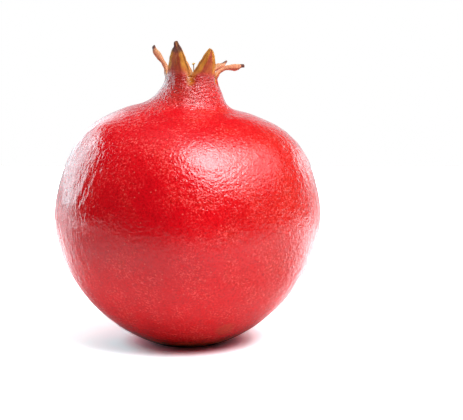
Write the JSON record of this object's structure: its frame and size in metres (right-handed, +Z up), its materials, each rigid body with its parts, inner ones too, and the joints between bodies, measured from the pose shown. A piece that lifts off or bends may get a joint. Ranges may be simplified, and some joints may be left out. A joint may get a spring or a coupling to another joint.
{
  "type": "pomegranate",
  "caption": "Whole ripe pomegranate standing on its stem end, with a glossy red leathery rind and an open calyx crown holding dried stamens.",
  "frame": {"origin": "where the fruit's axis meets the surface it rests on, in the middle of the flat spot round its stem end", "axes": "+Z up along the fruit's axis towards the crown, -Y towards the front, +X to the right"},
  "size_m": [0.0994, 0.1002, 0.1136],
  "materials": {
    "rind": "leathery fruit skin with a waxy semi-gloss",
    "dried_stamens": "dry and matt",
    "stalk": "rough bark with a cut end"
  },
  "bodies": {
    "root": {"fruit": "rind", "stamens": "dried_stamens", "stem_stub": "stalk"}
  },
  "joints": []
}
